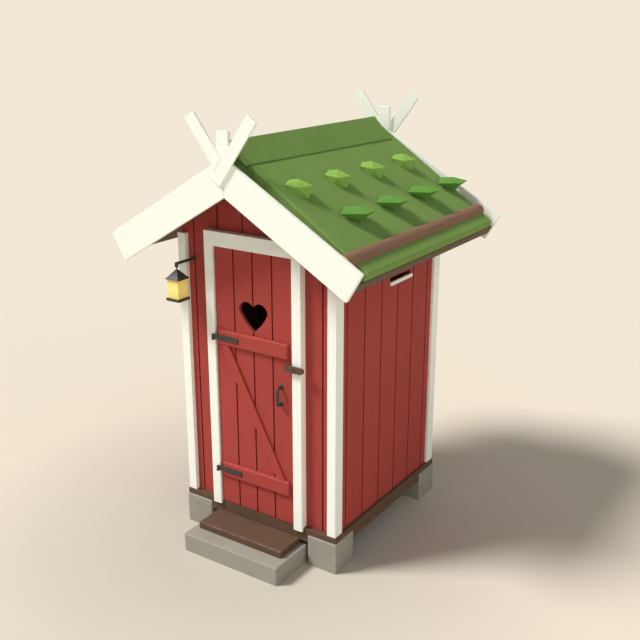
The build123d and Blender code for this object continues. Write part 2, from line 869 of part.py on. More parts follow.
# Lantern: pyramid cap, hollow glass and base plate
cap_bottom = lantern_cap_top - lantern_cap_height
with BuildPart() as lantern_cap:
    with BuildSketch(Plane.XY.offset(cap_bottom)):
        with Locations((lantern_x, lantern_y)):
            Rectangle(2 * lantern_cap_half, 2 * lantern_cap_half)
    with BuildSketch(Plane.XY.offset(lantern_cap_top)):
        with Locations((lantern_x, lantern_y)):
            Rectangle(2 * lantern_cap_tip, 2 * lantern_cap_tip)
    loft(ruled=True)
save(lantern_cap, "lantern_cap")

glass_bottom = cap_bottom - lantern_glass_height
with BuildPart() as lantern_glass:
    with BuildSketch(Plane.XY.offset(glass_bottom)):
        with Locations((lantern_x, lantern_y)):
            Rectangle(2 * lantern_glass_half, 2 * lantern_glass_half)
            Rectangle(
                2 * (lantern_glass_half - lantern_wall),
                2 * (lantern_glass_half - lantern_wall),
                mode=Mode.SUBTRACT,
            )
    extrude(amount=lantern_glass_height)
save(lantern_glass, "lantern_glass")

with BuildPart() as lantern_base:
    with BuildSketch(Plane.XY.offset(glass_bottom - lantern_base_height)):
        with Locations((lantern_x, lantern_y)):
            Rectangle(2 * lantern_base_half, 2 * lantern_base_half)
    extrude(amount=lantern_base_height)
save(lantern_base, "lantern_base")
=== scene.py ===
"""Dressed model of a small timber outhouse with a turf roof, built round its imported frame."""

import logging
import math
import random
from collections.abc import Callable, Iterable, Sequence
from dataclasses import dataclass
from enum import Enum
from functools import cache, partial
from typing import Any

import bmesh
import bpy
from bmesh.types import BMesh, BMVert
from bpy.types import Material, Mesh, NodeTree, Object
from mathutils import Matrix, Vector


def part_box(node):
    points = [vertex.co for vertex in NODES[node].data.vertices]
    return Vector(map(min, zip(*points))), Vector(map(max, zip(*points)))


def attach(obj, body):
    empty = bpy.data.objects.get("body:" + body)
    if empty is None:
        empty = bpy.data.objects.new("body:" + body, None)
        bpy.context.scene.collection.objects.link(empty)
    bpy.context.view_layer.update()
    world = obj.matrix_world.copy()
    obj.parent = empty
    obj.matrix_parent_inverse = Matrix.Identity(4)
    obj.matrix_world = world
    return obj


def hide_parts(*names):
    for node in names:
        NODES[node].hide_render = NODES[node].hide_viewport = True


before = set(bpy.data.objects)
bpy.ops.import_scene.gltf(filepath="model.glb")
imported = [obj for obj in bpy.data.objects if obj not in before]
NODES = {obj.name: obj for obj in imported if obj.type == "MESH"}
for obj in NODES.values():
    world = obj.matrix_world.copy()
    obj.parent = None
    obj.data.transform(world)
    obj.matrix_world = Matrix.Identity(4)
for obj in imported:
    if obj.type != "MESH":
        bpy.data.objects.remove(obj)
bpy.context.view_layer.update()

LOG = logging.getLogger("outhouse")
Pair = tuple[float, float]
Triple = tuple[float, float, float]
Box = tuple[Vector, Vector]  # lowest and highest corner
MM = 0.001
HOUSE = "house"
DOOR = "door"
LANTERN = "lantern"
OUTWARD = Vector((0.0, -1.0, 0.0))  # out of the front wall
UPWARD = Vector((0.0, 0.0, 1.0))
PITCH = math.radians(30.47)  # slope of the roof
WELD_GAP = 0.02 * MM  # corners nearer than this are one corner
LET_IN = 0.1 * MM  # how far nails and plates sit in the surface
SAME_FACE = 0.5 * MM  # faces nearer than this lie in one plane
OVERCUT = 0.01  # how far a cutter reaches past the wood
FLAT_ANGLE = math.radians(0.5)  # faces that differ less are joined
SHARP_ANGLE = math.radians(35)  # edges that turn more are eased
EDGE_SLOT, JOINT_SLOT, INSIDE_SLOT = 1, 2, 3  # places of a piece's further materials
WIDE_FACES_ONLY = 100  # highest weight for wide faces in the shading
BOARD_TONE = "board_tone"
TONE_SEED = 7
TONE_COUNT = 64  # tones that the boards take in turn
LOW, HIGH = 0.3, 0.7  # between these lie nearly all values of a pattern


class Grain(Enum):
    """Direction in which a board's grain runs."""

    UPRIGHT = "upright"
    ACROSS = "across"
    ALONG = "along"
    FALLS_RIGHT = "falls_right"
    FALLS_LEFT = "falls_left"


class Wear(Enum):
    """State of a finish: on the flat of a piece, rubbed on its edges, or sunk in a joint."""

    SOUND = "sound"
    RUBBED = "rubbed"
    SUNK = "sunk"


def linear(hex_colour: str) -> tuple[float, float, float, float]:
    """Turns an sRGB hex colour into linear values.

    Args:
        hex_colour: Six hex digits after a hash.

    Returns:
        Red, green, blue and an alpha of one.
    """
    values = [int(hex_colour[place : place + 2], 16) / 255 for place in (1, 3, 5)]
    lit = [v / 12.92 if v <= 0.04045 else ((v + 0.055) / 1.055) ** 2.4 for v in values]
    return (lit[0], lit[1], lit[2], 1.0)


def add_node(
    tree: NodeTree, kind: str, settings: dict | None = None, links: dict | None = None,
    output: int | str = 0,
) -> Any:
    """Adds a node, with its settings and links.

    Args:
        tree: Node tree that gets the node.
        kind: Blender's name for the node type.
        settings: Attributes by name, or default values by input socket's name or number.
        links: Output sockets by the name or number of the input socket they feed.
        output: Name or number of the output socket to give back.

    Returns:
        That socket, or None for a node that has none.
    """
    node = tree.nodes.new(kind)
    for name, value in (settings or {}).items():
        if isinstance(name, str) and hasattr(node, name):
            setattr(node, name, value)
        else:
            node.inputs[name].default_value = value
    for name, source in (links or {}).items():
        tree.links.new(source, node.inputs[name])
    return node.outputs[output] if node.outputs else None


class Coat:
    """A node material while it is being mixed, with the patterns and tones that finishes share."""

    def __init__(self, name: str) -> None:
        """Starts an empty node material.

        Args:
            name: The material's name.
        """
        self.material = bpy.data.materials.new(name)
        self.material.use_nodes = True
        self.material.node_tree.nodes.clear()
        self.add = partial(add_node, self.material.node_tree)
        self.place = self.add("ShaderNodeTexCoord", output="Object")

    def chain(self, kind: str, source: Any, *steps: dict) -> Any:
        """Passes a socket through nodes of one kind.

        Args:
            kind: Blender's name for the node type.
            source: The socket.
            *steps: Settings of each node.

        Returns:
            The output socket of the last one.
        """
        for step in steps:
            source = self.add(kind, step, {0: source})
        return source

    def pattern(self, size_mm: float, detail: float = 3.0, space: Any = None) -> Any:
        """Makes soft random blotches of a size, with values round a half; returns the socket."""
        settings = {"Scale": 1 / (size_mm * MM), "Detail": detail, "Roughness": 0.6}
        return self.add("ShaderNodeTexNoise", settings, {"Vector": space or self.place})

    def along(self, grain: Grain, across_mm: float, along_mm: float) -> Any:
        """Makes streaks that run with the grain.

        Args:
            grain: Direction of the grain.
            across_mm: Width of a streak.
            along_mm: Length of a streak.

        Returns:
            The output socket with values round a half.
        """
        wide, long = 1 / across_mm, 1 / along_mm
        scales = {Grain.UPRIGHT: (wide, wide, long), Grain.ALONG: (wide, long, wide)}
        turns = {Grain.FALLS_RIGHT: -PITCH, Grain.FALLS_LEFT: PITCH}
        turn = {"Rotation": (0.0, turns.get(grain, 0.0), 0.0)}
        scale = {"Scale": scales.get(grain, (long, wide, wide))}
        return self.pattern(1.0, 4.0, self.chain("ShaderNodeMapping", self.place, turn, scale))

    def spread(self, source: Any, start: float, end: float, low: float, high: float) -> Any:
        """Maps a socket's values from start and end to low and high, and returns the new socket."""
        settings = {1: start, 2: end, 3: low, 4: high}
        return self.add("ShaderNodeMapRange", settings, {0: source})

    def mottle(
        self, light: Any, dark: str, pattern: Any, share: float,
        start: float = 0.35, end: float = 0.75,
    ) -> Any:
        """Works a second colour into the first where a pattern is high.

        Args:
            light: First colour, as hex or as a socket.
            dark: Second colour, as hex.
            pattern: Socket with the pattern.
            share: Most of the second colour that shows.
            start: Value of the pattern where it starts to show.
            end: Value of the pattern where most of it shows.

        Returns:
            The output socket with the colour.
        """
        settings = {"data_type": "RGBA", 7: linear(dark)}
        links = {0: self.spread(pattern, start, end, 0.0, share)}
        if isinstance(light, str):
            settings[6] = linear(light)
        else:
            links[6] = light
        return self.add("ShaderNodeMix", settings, links, output=2)

    def shade(
        self, colour: Any, pattern: Any, amount: float, start: float = LOW, end: float = HIGH
    ) -> Any:
        """Makes a colour darker where a pattern is low and lighter where it is high."""
        value = self.spread(pattern, start, end, 1 - amount, 1 + amount)
        return self.add("ShaderNodeHueSaturation", links={"Color": colour, "Value": value})

    def finish(
        self, colour: Any, relief: Any, relief_mm: float, specular: float, rough: Pair,
        dulled: Any = None, painted_glow: float = 0.0,
    ) -> Material:
        """Ends the material with its relief, shader and output.

        Args:
            colour: Socket with the colour.
            relief: Socket with the height of the surface.
            relief_mm: Depth of the relief.
            specular: Strength of the reflection.
            rough: Roughness where a pattern is low and where it is high.
            dulled: Socket with that pattern, or None for the relief.
            painted_glow: Strength of the painted light that the surface gives, though it is no
                lamp.

        Returns:
            The material.
        """
        depth = {"Strength": 0.5, "Distance": relief_mm * MM}
        bump = self.add("ShaderNodeBump", depth, {"Height": relief})
        roughness = self.spread(dulled or relief, LOW, HIGH, *rough)
        links = {"Base Color": colour, "Roughness": roughness, "Normal": bump}
        # Painted light: the surface gives its colour off as light, though it is no lamp.
        if painted_glow:
            links["Emission Color"] = colour
        settings = {"Specular IOR Level": specular, "Emission Strength": painted_glow}
        shader = self.add("ShaderNodeBsdfPrincipled", settings, links)
        self.add("ShaderNodeOutputMaterial", links={"Surface": shader})
        return self.material


class WornFinish:
    """A finish that comes with a rubbed one for the edges."""

    material: Callable[..., Material]

    def worn(self, *grain: Grain) -> tuple[Material, Material]:
        """Gives the finish for flats and the rubbed one for edges, along its grain if any."""
        return self.material(*grain), self.material(*grain, Wear.RUBBED)


@dataclass(frozen=True)
class WoodFinish(WornFinish):
    """A sawn or planed wooden surface, bare or painted, with its grain.

    Attributes:
        name: What the finish is.
        light: Main colour.
        dark: Colour in the grain lines.
        rubbed: Colour that shows where edges are worn; on the red paint it is also a painted
            highlight.
        sunk: Colour down in the joints.
        grain_mm: Spacing of the grain lines.
        streak_mm: Length of a grain line.
        contrast: How much of the dark colour shows, from 0 to 1.
        roughness: Roughness of the surface.
        relief_mm: Depth of the grain.
        cloud_mm: Size of the faint clouds left by brush and weather.
        cloud_tone: How much lighter or darker they are.
        board_tone: How much the tone differs from board to board.
        specular: Strength of the reflection, which is low on chalky paint and dry wood.
        dulling: How much the roughness differs within the clouds.
        rub_mm: Size of the worn patches, as a hand or a rope leaves them.
    """

    name: str
    light: str
    dark: str
    rubbed: str
    sunk: str
    grain_mm: float
    streak_mm: float
    contrast: float
    roughness: float
    relief_mm: float
    cloud_mm: float = 260.0
    cloud_tone: float = 0.03
    board_tone: float = 0.05
    specular: float = 0.25
    dulling: float = 0.06
    rub_mm: float = 30.0

    @cache
    def material(self, grain: Grain, wear: Wear = Wear.SOUND) -> Material:
        """Gives this finish along a grain, made once.

        Args:
            grain: Direction of the grain.
            wear: State of the finish.

        Returns:
            The material.
        """
        coat = Coat(f"{self.name}_{grain.value}_{wear.value}")
        lines = coat.along(grain, self.grain_mm, self.streak_mm)
        light = self.sunk if wear is Wear.SUNK else self.light
        dark = self.sunk if wear is Wear.SUNK else self.dark
        colour = coat.mottle(light, dark, lines, self.contrast)
        # Worn patches on the eased edges; the red paint's lighter ones also stand as a painted
        # highlight.
        if wear is Wear.RUBBED:
            rubs = coat.pattern(self.rub_mm)
            colour = coat.mottle(colour, self.rubbed, rubs, share=0.75, start=0.42, end=0.62)
        clouds = coat.pattern(self.cloud_mm)
        colour = coat.shade(colour, clouds, self.cloud_tone)
        boards = coat.add("ShaderNodeAttribute", {"attribute_name": BOARD_TONE}, output="Fac")
        colour = coat.shade(colour, boards, self.board_tone, start=-1.0, end=1.0)
        rough = (self.roughness - self.dulling, self.roughness + self.dulling)
        return coat.finish(colour, lines, self.relief_mm, self.specular, rough, clouds)


# Red ochre paint, boiled with flour and brushed on sawn spruce: dead matt, faintly streaked along
# the boards, lighter on the eased edges as rubbed wear and a painted highlight, and almost oxblood
# down in the joints.
RED_PAINT = WoodFinish(
    "red_ochre_paint", "#a9443d", "#94362f", "#bb584d", "#80261e", 6.0, 240.0, 0.35, 0.78, 0.5
)
# White linseed-oil paint, brushed on planed pine: creamy, closed, almost without grain.
WHITE_PAINT = WoodFinish(
    "white_linseed_paint", "#f9fcf4", "#f0f1e4", "#ece8d8", "#c9c2b0", 7.0, 300.0, 0.25, 0.6, 0.3,
    cloud_tone=0.012, board_tone=0.01,
)
# Tarred oak: brown with a dull sheen, open grain and paler edges.
TARRED_OAK = WoodFinish(
    "tarred_oak", "#624b3b", "#48372a", "#806551", "#241a14", 5.0, 180.0, 0.45, 0.7, 0.6,
    cloud_tone=0.05,
)
# Weathered spruce roof boards: grey brown, rough from the saw.
ROOF_BOARDS = WoodFinish(
    "weathered_roof_boards", "#6a5647", "#4f3f31", "#7c6858", "#2c221b", 6.0, 200.0, 0.5, 0.8, 0.7,
    cloud_tone=0.06,
)
# Scrubbed pine: pale and yellow, worn along the grain.
BARE_PINE = WoodFinish(
    "scrubbed_pine", "#b48f62", "#8f6b42", "#c6a478", "#4b3722", 6.0, 260.0, 0.5, 0.65, 0.4,
    cloud_tone=0.06,
)


@dataclass(frozen=True)
class StoneFinish(WornFinish):
    """Dressed fieldstone: fine grit, faint blotches, pick marks and a chalky surface.

    Attributes:
        name: What the finish is.
        light: Main colour.
        dark: Colour of the blotches.
        bruised: Colour of the edges that the hammer has bruised.
        grit_mm: Size of the mineral grains, coarser than the real 1 to 2 mm so that they show.
        pick_mm: Spacing of the marks of the pick.
        blotch_mm: Size of the blotches.
        bruise_mm: Size of the bruises.
        relief_mm: Depth of the marks.
    """

    name: str = "dressed_fieldstone"
    light: str = "#a09b91"
    dark: str = "#908b80"
    bruised: str = "#b9b4a8"
    grit_mm: float = 5.0
    pick_mm: float = 26.0
    blotch_mm: float = 110.0
    bruise_mm: float = 40.0
    relief_mm: float = 1.5

    @cache
    def material(self, wear: Wear = Wear.SOUND) -> Material:
        """Gives the stone's material, made once.

        Args:
            wear: State of the surface.

        Returns:
            The material.
        """
        coat = Coat(f"{self.name}_{wear.value}")
        grit = coat.pattern(self.grit_mm, 2.0)
        colour = coat.mottle(self.light, self.dark, coat.pattern(self.blotch_mm, 5.0), share=0.55)
        if wear is Wear.RUBBED:
            bruises = coat.pattern(self.bruise_mm)
            colour = coat.mottle(colour, self.bruised, bruises, share=0.7, start=0.4, end=0.6)
        colour = coat.shade(colour, grit, 0.05)
        picks = {"feature": "SMOOTH_F1", "Scale": 1 / (self.pick_mm * MM), "Smoothness": 0.6}
        marks = coat.add("ShaderNodeTexVoronoi", picks, {"Vector": coat.place})
        both = {"operation": "MULTIPLY_ADD", 1: 0.5}
        height = coat.add("ShaderNodeMath", both, {0: grit, 2: marks})
        return coat.finish(
            colour, height, self.relief_mm, specular=0.2, rough=(0.85, 0.95), dulled=grit
        )


@dataclass(frozen=True)
class GrassFinish:
    """Clipped grass seen from afar: soft green, with short blades as fine relief.

    Attributes:
        name: What the finish is.
        light: Main colour.
        dark: Colour between the blades.
        dry: Colour of single dry blades.
        patch_mm: Size of the patches of other tone.
        blade_mm: Spacing of the blades, drawn coarser than real ones so that they show.
        relief_mm: Height of the blades.
    """

    name: str
    light: str
    dark: str
    dry: str
    patch_mm: float = 320.0
    blade_mm: float = 9.0
    relief_mm: float = 3.0

    @cache
    def material(self) -> Material:
        """Gives the grass's material, made once.

        Returns:
            The material.
        """
        coat = Coat(self.name)
        blades = coat.pattern(self.blade_mm)
        patches = coat.pattern(self.patch_mm, 4.0)
        mixed = {"operation": "MULTIPLY_ADD", 1: 0.4}
        both = coat.add("ShaderNodeMath", mixed, {0: blades, 2: patches})
        colour = coat.mottle(self.light, self.dark, both, share=0.7, start=0.5, end=0.95)
        single = coat.pattern(0.5 * self.blade_mm, 1.0)
        colour = coat.mottle(colour, self.dry, single, share=0.35, start=0.6, end=0.7)
        return coat.finish(colour, blades, self.relief_mm, specular=0.1, rough=(0.8, 0.9))


# Turf laid on birch bark: a close sward, even in tone, a shade paler on the ridge strip.
SOD = GrassFinish("grass_sod", "#799852", "#6f8d48", "#8f9d5c")
CAP_SOD = GrassFinish("grass_sod_ridge", "#7c9d56", "#72924c", "#909e5e")
# Tufts that stand out of it: young grass pale and yellowish, old grass deep green.
LIGHT_TUFT = GrassFinish("young_grass", "#8db657", "#80ab4d", "#a3be6a", patch_mm=60.0)
DARK_TUFT = GrassFinish("old_grass", "#679746", "#588939", "#82a359", patch_mm=60.0)


@dataclass(frozen=True)
class IronFinish(WornFinish):
    """Forged iron under black paint: hammered flats, a dull sheen, grey on the edges as rubbed wear
    and a painted highlight.

    Attributes:
        name: What the finish is.
        colour: Colour of the paint.
        dull: Colour of the paint where it has gone chalky.
        rubbed: Colour of the edges, as rubbed wear and a painted highlight.
        hammer_mm: Size of the hammer marks.
        chalk_mm: Size of the chalky patches.
        rub_mm: Size of the rubbed patches.
        relief_mm: Depth of the hammer marks.
    """

    name: str = "painted_forged_iron"
    colour: str = "#302c2a"
    dull: str = "#3c3836"
    rubbed: str = "#595552"
    hammer_mm: float = 12.0
    chalk_mm: float = 45.0
    rub_mm: float = 16.0
    relief_mm: float = 0.5

    @cache
    def material(self, wear: Wear = Wear.SOUND) -> Material:
        """Gives the iron's material, made once.

        Args:
            wear: State of the surface.

        Returns:
            The material.
        """
        coat = Coat(f"{self.name}_{wear.value}")
        marks = coat.pattern(self.hammer_mm, 2.0)
        colour = coat.mottle(self.colour, self.dull, coat.pattern(self.chalk_mm), share=0.8)
        # Grey patches on the eased edges: rubbed wear, and a painted highlight.
        if wear is Wear.RUBBED:
            rubs = coat.pattern(self.rub_mm)
            colour = coat.mottle(colour, self.rubbed, rubs, share=0.8, start=0.4, end=0.6)
        return coat.finish(colour, marks, self.relief_mm, specular=0.5, rough=(0.42, 0.58))


@dataclass(frozen=True)
class AmberGlassFinish:
    """Frosted amber glass with painted light from within, though no lamp is in it: lighter in the
    middle, deeper at its ends.

    Attributes:
        name: What the finish is.
        painted_glow_colour: Colour of the painted light in the middle.
        deep: Colour away from it.
        painted_glow: Strength of the painted light from within, which is no lamp.
        painted_glow_share: Share of the height that the lightest middle fills.
        frost_mm: Size of the frosting, drawn coarser than real so that it shows.
        relief_mm: Depth of the frosting.
    """

    name: str = "frosted_amber_glass_painted_glow"
    painted_glow_colour: str = "#fbe184"
    deep: str = "#f5d072"
    painted_glow: float = 0.11
    painted_glow_share: float = 0.3
    frost_mm: float = 2.5
    relief_mm: float = 0.3

    def material(self, middle: float, half: float) -> Material:
        """Gives the glass's material.

        Args:
            middle: Height of the middle of the painted light.
            half: Half the height of the glass.

        Returns:
            The material.
        """
        coat = Coat(self.name)
        frost = coat.pattern(self.frost_mm, 2.0)
        height = coat.add("ShaderNodeSeparateXYZ", links={0: coat.place}, output="Z")
        steps = ({"operation": "SUBTRACT", 1: middle}, {"operation": "ABSOLUTE"})
        far = coat.chain("ShaderNodeMath", height, *steps)
        # Painted light: lighter round the middle height and given off as light, though the glass is
        # no lamp.
        start = self.painted_glow_share * half
        colour = coat.mottle(self.painted_glow_colour, self.deep, far, share=1.0, start=start, end=half)
        return coat.finish(
            colour, frost, self.relief_mm, specular=0.4, rough=(0.32, 0.42), painted_glow=self.painted_glow
        )


@dataclass(frozen=True)
class LogFinish:
    """A peeled pine log: warm brown round the side, orange rings on the sawn ends.

    Attributes:
        name: What the finish is.
        side: Colour of the weathered side.
        side_dark: Colour of the streaks on it.
        end: Colour of the sawn end.
        end_dark: Colour of the rings.
        grain_mm: Width of the streaks.
        streak_mm: Length of the streaks.
        ring_mm: Spacing of the rings, drawn wider than the real 2 to 3 mm so that they show.
        relief_mm: Depth of the grain.
    """

    name: str = "peeled_pine_log"
    side: str = "#8c6a55"
    side_dark: str = "#725443"
    end: str = "#e5a85f"
    end_dark: str = "#c98a45"
    grain_mm: float = 11.0
    streak_mm: float = 260.0
    ring_mm: float = 9.0
    relief_mm: float = 1.0

    def material(self, centre: Vector) -> Material:
        """Gives the log's material.

        Args:
            centre: A point on the right-hand log's axis; the left-hand log mirrors it.

        Returns:
            The material.
        """
        coat = Coat(self.name)
        streak = coat.along(Grain.ALONG, self.grain_mm, self.streak_mm)
        side = coat.mottle(self.side, self.side_dark, streak, share=0.6)
        steps = (
            {"operation": "ABSOLUTE"},
            {"operation": "SUBTRACT", 1: (centre.x, 0.0, centre.z)},
            {"operation": "MULTIPLY", 1: (1.0, 0.0, 1.0)},
        )
        flat = coat.chain("ShaderNodeVectorMath", coat.place, *steps)
        far = coat.add("ShaderNodeVectorMath", {"operation": "LENGTH"}, {0: flat}, "Value")
        rate = {"operation": "MULTIPLY", 1: 2 * math.pi / (self.ring_mm * MM)}
        wave = coat.chain("ShaderNodeMath", far, rate, {"operation": "SINE"})
        end = coat.mottle(self.end, self.end_dark, wave, share=0.6, start=-1.0, end=1.0)
        facing = coat.add("ShaderNodeNewGeometry", output="True Normal")
        forward = coat.add("ShaderNodeSeparateXYZ", links={0: facing}, output="Y")
        sawn = ({"operation": "ABSOLUTE"}, {"operation": "GREATER_THAN", 1: 0.7})
        sockets = {0: coat.chain("ShaderNodeMath", forward, *sawn), 6: side, 7: end}
        colour = coat.add("ShaderNodeMix", {"data_type": "RGBA"}, sockets, output=2)
        return coat.finish(colour, streak, self.relief_mm, specular=0.25, rough=(0.7, 0.8))


STONE = StoneFinish()
IRON = IronFinish()
AMBER = AmberGlassFinish()
PEELED_LOG = LogFinish()


def paint(piece: Object, *materials: Material) -> None:
    """Gives a piece its materials.

    Args:
        piece: The piece.
        *materials: The main one first, then the one for its edges, then any others.
    """
    piece.data.materials.clear()
    for material in materials:
        piece.data.materials.append(material)


def ease(piece: Object, radius_mm: float, segments: int = 2) -> None:
    """Rounds a piece's sharp edges, in its second material, and keeps its wide faces flat.

    Args:
        piece: The piece.
        radius_mm: Radius of the rounding.
        segments: Faces across the rounding.
    """
    weld = piece.modifiers.new("weld", "WELD")
    weld.merge_threshold = WELD_GAP
    bevel = piece.modifiers.new("eased_edges", "BEVEL")
    bevel.width = radius_mm * MM
    bevel.segments = segments
    bevel.limit_method = "ANGLE"
    bevel.angle_limit = SHARP_ANGLE
    if len(piece.data.materials) > EDGE_SLOT:
        bevel.material = EDGE_SLOT
    flat = piece.modifiers.new("flat_faces", "WEIGHTED_NORMAL")
    flat.weight = WIDE_FACES_ONLY
    flat.keep_sharp = False


def dress(node: str, radius_mm: float, segments: int, *materials: Material) -> None:
    """Paints a node of the frame and eases its edges.

    Args:
        node: The node's name.
        radius_mm: Radius of its eased edges, or 0 where it is round already.
        segments: Faces across the rounding.
        *materials: The main material, then the one for its edges.
    """
    paint(NODES[node], *materials)
    if radius_mm:
        ease(NODES[node], radius_mm, segments)
    LOG.info("%s is dressed with %s", node, materials[0].name)


def polar(reach: float, angle: float, lift: float) -> Vector:
    """Gives a point from its distance to the Z axis, its angle in radians and its height."""
    return Vector((reach * math.cos(angle), reach * math.sin(angle), lift))


def box_round(spots: Sequence[Vector]) -> Box:
    """Finds the lowest and the highest corner of the box round some points."""
    return Vector([min(way) for way in zip(*spots)]), Vector([max(way) for way in zip(*spots)])


def new_object(name: str, data: Any) -> Object:
    """Makes an object in the scene.

    Args:
        name: The object's name.
        data: Its mesh, lamp or lens.

    Returns:
        The new object.
    """
    thing = bpy.data.objects.new(name, data)
    bpy.context.scene.collection.objects.link(thing)
    return thing


def new_piece(name: str, shape: BMesh, smooth: bool = True) -> Object:
    """Makes a piece from a finished shape.

    Args:
        name: The piece's name.
        shape: Its shape, which is used up.
        smooth: Whether its faces are shaded as one surface.

    Returns:
        The new object.
    """
    mesh = bpy.data.meshes.new(name)
    bmesh.ops.recalc_face_normals(shape, faces=shape.faces)
    for face in shape.faces:
        face.smooth = smooth
    shape.to_mesh(mesh)
    shape.free()
    return new_object(name, mesh)


def turned_piece(
    name: str, spots: Iterable[Vector], way: Vector, rings: Sequence[Pair], sides: int
) -> Object:
    """Makes a piece of one or more equal turned shapes, such as nails' heads or a collar.

    Args:
        name: The piece's name.
        spots: Where the axis of each shape starts.
        way: Direction of the axes.
        rings: Distance along the axis and radius of each ring; a radius of 0 ends in a point.
        sides: Corners of each ring.

    Returns:
        The new piece.
    """
    shape = bmesh.new()
    turn = way.to_track_quat("Z", "Y").to_matrix()
    for spot in spots:
        layers = []
        for along, radius in rings:
            angles = [math.tau * number / sides for number in range(sides if radius else 1)]
            layers.append([shape.verts.new(spot + turn @ polar(radius, a, along)) for a in angles])
        for under, over in zip(layers, layers[1:]):
            for here in range(sides):
                after = (here + 1) % sides
                steps = ((under, here), (under, after), (over, after), (over, here))
                corners = [layer[step % len(layer)] for layer, step in steps]
                shape.faces.new(dict.fromkeys(corners))
        for layer in (layers[0], layers[-1]):
            if len(layer) > 1:
                shape.faces.new(layer)
    return new_piece(name, shape, smooth=False)


def add_block(
    shape: BMesh, low: Sequence[float], high: Sequence[float], turn: Matrix | None = None
) -> None:
    """Adds a block between two corners.

    Args:
        shape: Shape that gets the block.
        low: Lowest corner.
        high: Highest corner.
        turn: Turn of the block about the origin, where it doesn't lie along the frame's axes.
    """
    middle = [(a + b) / 2 for a, b in zip(low, high)]
    size = [b - a for a, b in zip(low, high)]
    place = (turn or Matrix()) @ Matrix.Translation(middle) @ Matrix.Diagonal((*size, 1.0))
    bmesh.ops.create_cube(shape, size=1.0, matrix=place)


def read_shape(mesh: Mesh, level: bool = True) -> BMesh:
    """Reads a mesh as a shape and welds its corners.

    Args:
        mesh: The mesh.
        level: Whether faces that lie in one plane are joined.

    Returns:
        The shape.
    """
    shape = bmesh.new()
    shape.from_mesh(mesh)
    bmesh.ops.remove_doubles(shape, verts=shape.verts, dist=WELD_GAP)
    if level:
        parts = {"verts": shape.verts, "edges": shape.edges}
        bmesh.ops.dissolve_limit(shape, angle_limit=FLAT_ANGLE, **parts)
    return shape


def islands(node: str) -> list[Box]:
    """Finds the box of each loose solid of a node.

    Args:
        node: The node's name.

    Returns:
        Lowest and highest corner of each one, from front to back and then from the ground up.
    """
    shape = read_shape(NODES[node].data, level=False)
    left = set(shape.verts)
    found = []
    while left:
        group = [left.pop()]
        for here in group:  # grows until the solid is complete
            near = {link.other_vert(here) for link in here.link_edges} & left
            left -= near
            group.extend(near)
        found.append(box_round([vert.co for vert in group]))
    shape.free()
    return sorted(found, key=lambda ends: (round((ends[0] + ends[1]).y, 3), ends[0].z))


def cut_copy(name: str, nodes: Sequence[str], cutter: BMesh) -> Object:
    """Makes a piece from one or more touching nodes, with a shape cut out of it.

    Args:
        name: The new piece's name.
        nodes: Nodes whose solids are joined.
        cutter: Shape that is cut away, which is used up.

    Returns:
        The new piece.
    """
    parts = []
    for node in nodes:
        part = new_object(f"{name}_{node}", NODES[node].data.copy())
        shape = read_shape(part.data)
        shape.to_mesh(part.data)
        shape.free()
        parts.append(part)
    tool = new_piece(f"{name}_cutter", cutter)
    piece = parts[0]
    for other, way in [(part, "UNION") for part in parts[1:]] + [(tool, "DIFFERENCE")]:
        change = piece.modifiers.new(way.lower(), "BOOLEAN")
        change.operation = way
        change.solver = "EXACT"
        change.object = other
    bpy.context.view_layer.update()
    seen = piece.evaluated_get(bpy.context.evaluated_depsgraph_get())
    mesh = bpy.data.meshes.new_from_object(seen)
    for part in (*parts, tool):
        bpy.data.objects.remove(part)
    shape = read_shape(mesh)
    bpy.data.meshes.remove(mesh)
    return new_piece(name, shape)


def seat(piece: Object, body: str, slot: str, *nodes: str) -> None:
    """Puts a piece on its body and hides the nodes that it replaces.

    Args:
        piece: The piece.
        body: Body that it rides on.
        slot: Material slot of the record; not used.
        *nodes: Nodes that it replaces.
    """
    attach(piece, body)
    if nodes:
        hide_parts(*nodes)
    LOG.info("%s rides on %s", piece.name, body)


